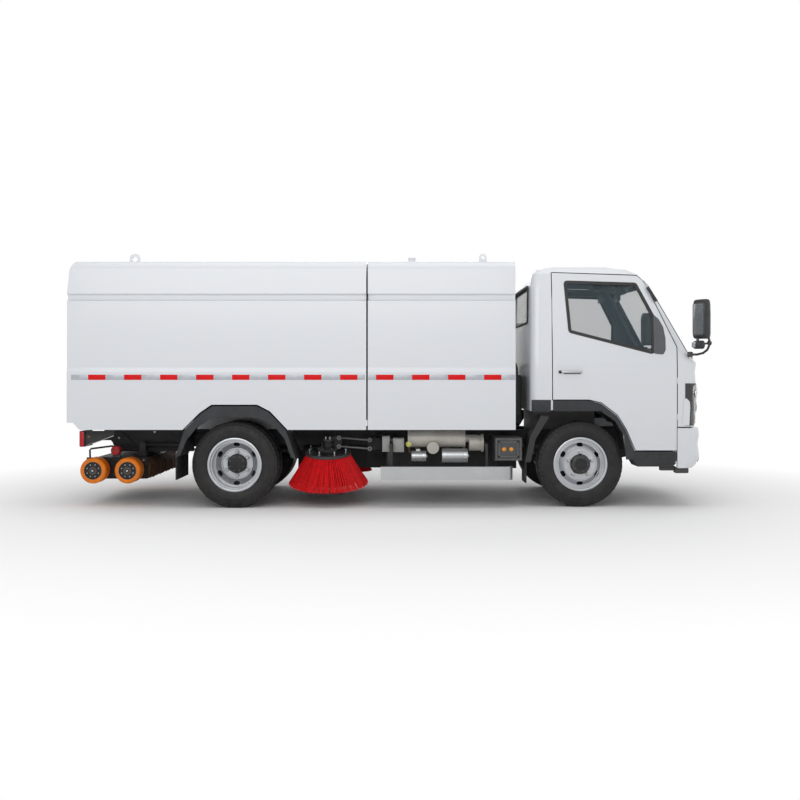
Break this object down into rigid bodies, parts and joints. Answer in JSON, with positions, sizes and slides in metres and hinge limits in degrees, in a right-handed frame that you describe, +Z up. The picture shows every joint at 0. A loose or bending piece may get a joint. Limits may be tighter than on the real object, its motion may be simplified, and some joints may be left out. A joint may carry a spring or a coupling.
{
  "type": "street sweeper truck",
  "caption": "Forward-control light truck with a tipping waste hopper, a fixed front compartment, swinging side brushes and a trailing suction nozzle on rollers.",
  "frame": {"origin": "on the ground at mid length, on the centreline", "axes": "+X forward, +Y to the truck's left, +Z up"},
  "size_m": [5.6448, 2.2, 2.25],
  "materials": {
    "body_paint": "smooth light grey-white paint",
    "frame_paint": "satin black chassis paint",
    "rim_paint": "silver wheel paint",
    "black_plastic": "grained black plastic",
    "dark_trim": "grained dark grey plastic",
    "lamp_clear": "clear lamp cover",
    "brush_red": "bright red bristles",
    "roller_orange": "orange solid tyre",
    "flap_rubber": "black sheet rubber",
    "tyre_rubber": "black tyre rubber",
    "pane": "tinted safety glass",
    "cloth": "dark seat cloth",
    "bright_steel": "bright drawn steel",
    "guard_aluminium": "brushed aluminium",
    "engine_iron": "rough grey iron"
  },
  "bodies": {
    "chassis": {"frame_rail_left": "frame_paint", "frame_rail_right": "frame_paint", "crossmembers": "frame_paint", "leaf_springs": "frame_paint", "front_axle_beam": "frame_paint", "rear_axle_housing": "frame_paint", "propeller_shaft": "frame_paint", "engine_blocks": "engine_iron", "front_compartment": "body_paint", "mudguards": "black_plastic", "mud_flaps": "flap_rubber", "tool_brackets": "frame_paint", "rear_lamp_bar": "frame_paint", "equipment_boxes": "frame_paint", "exhaust_muffler": "bright_steel", "air_tanks": "guard_aluminium", "fuel_tank": "frame_paint", "side_guards": "guard_aluminium"},
    "cab": {"cab_shell": "body_paint", "cab_glass": "pane", "dashboard": "dark_trim", "seats": "cloth", "headlamps": "lamp_clear", "lower_trim": "black_plastic", "mirrors": "black_plastic", "front_bumper": "body_paint"},
    "hopper": {"hopper_shell": "body_paint"},
    "tailgate": {"tailgate": "body_paint"},
    "tip_barrels": {"tip_cylinder_barrels": "frame_paint"},
    "tip_rods": {"tip_cylinder_rods": "bright_steel"},
    "pull_arms": {"nozzle_pull_arms": "frame_paint"},
    "nozzle": {"suction_nozzle": "frame_paint"},
    "door_right": {"door_right": "body_paint", "door_glass_right": "pane"},
    "knuckle_right": {"knuckle_right": "frame_paint"},
    "wheel_front_right": {"front_tyre_right": "tyre_rubber", "front_rim_right": "rim_paint"},
    "wheels_rear_right": {"rear_tyres_right": "tyre_rubber", "rear_rims_right": "rim_paint"},
    "brush_swing_right": {"brush_swing_right": "frame_paint"},
    "brush_lower_link_right": {"brush_lower_link_right": "bright_steel"},
    "brush_upper_link_right": {"brush_upper_link_right": "bright_steel"},
    "brush_head_right": {"brush_head_right": "frame_paint"},
    "side_brush_right": {"side_brush_right": "brush_red"},
    "roller_front_right": {"roller_front_right": "roller_orange"},
    "roller_rear_right": {"roller_rear_right": "roller_orange"},
    "door_left": {"door_left": "body_paint", "door_glass_left": "pane"},
    "knuckle_left": {"knuckle_left": "frame_paint"},
    "wheel_front_left": {"front_tyre_left": "tyre_rubber", "front_rim_left": "rim_paint"},
    "wheels_rear_left": {"rear_tyres_left": "tyre_rubber", "rear_rims_left": "rim_paint"},
    "brush_swing_left": {"brush_swing_left": "frame_paint"},
    "brush_lower_link_left": {"brush_lower_link_left": "bright_steel"},
    "brush_upper_link_left": {"brush_upper_link_left": "bright_steel"},
    "brush_head_left": {"brush_head_left": "frame_paint"},
    "side_brush_left": {"side_brush_left": "brush_red"},
    "roller_front_left": {"roller_front_left": "roller_orange"},
    "roller_rear_left": {"roller_rear_left": "roller_orange"}
  },
  "joints": [
    {"name": "cab_tilt", "type": "hinge", "parent": "chassis", "child": "cab", "pos_m": [2.6175, 0, 0.7], "axis": [0, 1, 0], "range_deg": [0, 45]},
    {"name": "hopper_tip", "type": "hinge", "parent": "chassis", "child": "hopper", "pos_m": [-2.6395, 0, 0.7], "axis": [0, -1, 0], "range_deg": [0, 45]},
    {"name": "tailgate_open", "type": "hinge", "parent": "hopper", "child": "tailgate", "pos_m": [-2.7945, 0, 2.058], "axis": [0, 1, 0], "range_deg": [0, 80]},
    {"name": "tip_cylinder_swing", "type": "hinge", "parent": "chassis", "child": "tip_barrels", "pos_m": [-1.9495, 0, 0.555], "axis": [0, -1, 0], "range_deg": [0, 63]},
    {"name": "tip_cylinder_slide", "type": "slide", "parent": "tip_barrels", "child": "tip_rods", "axis": [0.9844, 0, 0.1762], "range_m": [0, 0.44]},
    {"name": "nozzle_lower", "type": "hinge", "parent": "chassis", "child": "pull_arms", "pos_m": [-1.8655, 0, 0.524], "axis": [0, -1, 0], "range_deg": [0, 27]},
    {"name": "nozzle_level", "type": "hinge", "parent": "pull_arms", "child": "nozzle", "pos_m": [-2.2935, 0, 0.524], "axis": [0, -1, 0], "range_deg": [-27, 0]},
    {"name": "door_right", "type": "hinge", "parent": "cab", "child": "door_right", "pos_m": [2.5295, -0.901, 1], "axis": [0, 0, 1], "range_deg": [0, 65]},
    {"name": "steer_right", "type": "hinge", "parent": "chassis", "child": "knuckle_right", "pos_m": [1.6825, -0.69, 0.38], "axis": [0, 0, 1], "range_deg": [-32, 32]},
    {"name": "front_wheel_spin_right", "type": "hinge", "parent": "knuckle_right", "child": "wheel_front_right", "pos_m": [1.6825, -0.765, 0.38], "axis": [0, 1, 0], "continuous": true},
    {"name": "rear_wheel_spin_right", "type": "hinge", "parent": "chassis", "child": "wheels_rear_right", "pos_m": [-1.3675, -0.7225, 0.38], "axis": [0, 1, 0], "continuous": true},
    {"name": "brush_swing_right", "type": "hinge", "parent": "chassis", "child": "brush_swing_right", "pos_m": [-0.1055, -0.47, 0.55], "axis": [0, 0, 1], "range_deg": [0, 25]},
    {"name": "brush_lower_right", "type": "hinge", "parent": "brush_swing_right", "child": "brush_lower_link_right", "pos_m": [-0.1875, -0.647, 0.503], "axis": [0, -1, 0], "range_deg": [0, 22]},
    {"name": "brush_upper_right", "type": "hinge", "parent": "brush_swing_right", "child": "brush_upper_link_right", "pos_m": [-0.1875, -0.647, 0.581], "axis": [0, -1, 0], "range_deg": [0, 22]},
    {"name": "brush_level_right", "type": "hinge", "parent": "brush_lower_link_right", "child": "brush_head_right", "pos_m": [-0.46678, -0.647, 0.523], "axis": [0, -1, 0], "range_deg": [-22, 0]},
    {"name": "brush_spin_right", "type": "hinge", "parent": "brush_head_right", "child": "side_brush_right", "pos_m": [-0.5635, -0.62, 0.182], "axis": [0, -0.1736, 0.9848], "continuous": true},
    {"name": "roller_spin_front_right", "type": "hinge", "parent": "nozzle", "child": "roller_front_right", "pos_m": [-2.3435, -0.725, 0.317], "axis": [0, 1, 0], "continuous": true},
    {"name": "roller_spin_rear_right", "type": "hinge", "parent": "nozzle", "child": "roller_rear_right", "pos_m": [-2.6515, -0.725, 0.317], "axis": [0, 1, 0], "continuous": true},
    {"name": "door_left", "type": "hinge", "parent": "cab", "child": "door_left", "pos_m": [2.5295, 0.901, 1], "axis": [0, 0, -1], "range_deg": [0, 65]},
    {"name": "steer_left", "type": "hinge", "parent": "chassis", "child": "knuckle_left", "pos_m": [1.6825, 0.69, 0.38], "axis": [0, 0, 1], "range_deg": [-32, 32]},
    {"name": "front_wheel_spin_left", "type": "hinge", "parent": "knuckle_left", "child": "wheel_front_left", "pos_m": [1.6825, 0.765, 0.38], "axis": [0, 1, 0], "continuous": true},
    {"name": "rear_wheel_spin_left", "type": "hinge", "parent": "chassis", "child": "wheels_rear_left", "pos_m": [-1.3675, 0.7225, 0.38], "axis": [0, 1, 0], "continuous": true},
    {"name": "brush_swing_left", "type": "hinge", "parent": "chassis", "child": "brush_swing_left", "pos_m": [-0.1055, 0.47, 0.55], "axis": [0, 0, -1], "range_deg": [0, 25]},
    {"name": "brush_lower_left", "type": "hinge", "parent": "brush_swing_left", "child": "brush_lower_link_left", "pos_m": [-0.1875, 0.647, 0.503], "axis": [0, -1, 0], "range_deg": [0, 22]},
    {"name": "brush_upper_left", "type": "hinge", "parent": "brush_swing_left", "child": "brush_upper_link_left", "pos_m": [-0.1875, 0.647, 0.581], "axis": [0, -1, 0], "range_deg": [0, 22]},
    {"name": "brush_level_left", "type": "hinge", "parent": "brush_lower_link_left", "child": "brush_head_left", "pos_m": [-0.46678, 0.647, 0.523], "axis": [0, -1, 0], "range_deg": [-22, 0]},
    {"name": "brush_spin_left", "type": "hinge", "parent": "brush_head_left", "child": "side_brush_left", "pos_m": [-0.5635, 0.62, 0.182], "axis": [0, 0.1736, 0.9848], "continuous": true},
    {"name": "roller_spin_front_left", "type": "hinge", "parent": "nozzle", "child": "roller_front_left", "pos_m": [-2.3435, 0.725, 0.317], "axis": [0, 1, 0], "continuous": true},
    {"name": "roller_spin_rear_left", "type": "hinge", "parent": "nozzle", "child": "roller_rear_left", "pos_m": [-2.6515, 0.725, 0.317], "axis": [0, 1, 0], "continuous": true}
  ],
  "couplings": [
    {"joint": "tip_cylinder_swing", "follows": "hopper_tip", "ratio": 1.394},
    {"joint": "tip_cylinder_slide", "follows": "hopper_tip", "m_per_rad": 0.558},
    {"joint": "nozzle_level", "follows": "nozzle_lower", "ratio": -1},
    {"joint": "steer_left", "follows": "steer_right", "ratio": 1},
    {"joint": "brush_upper_right", "follows": "brush_lower_right", "ratio": 1},
    {"joint": "brush_level_right", "follows": "brush_lower_right", "ratio": -1},
    {"joint": "brush_upper_left", "follows": "brush_lower_left", "ratio": 1},
    {"joint": "brush_level_left", "follows": "brush_lower_left", "ratio": -1}
  ]
}
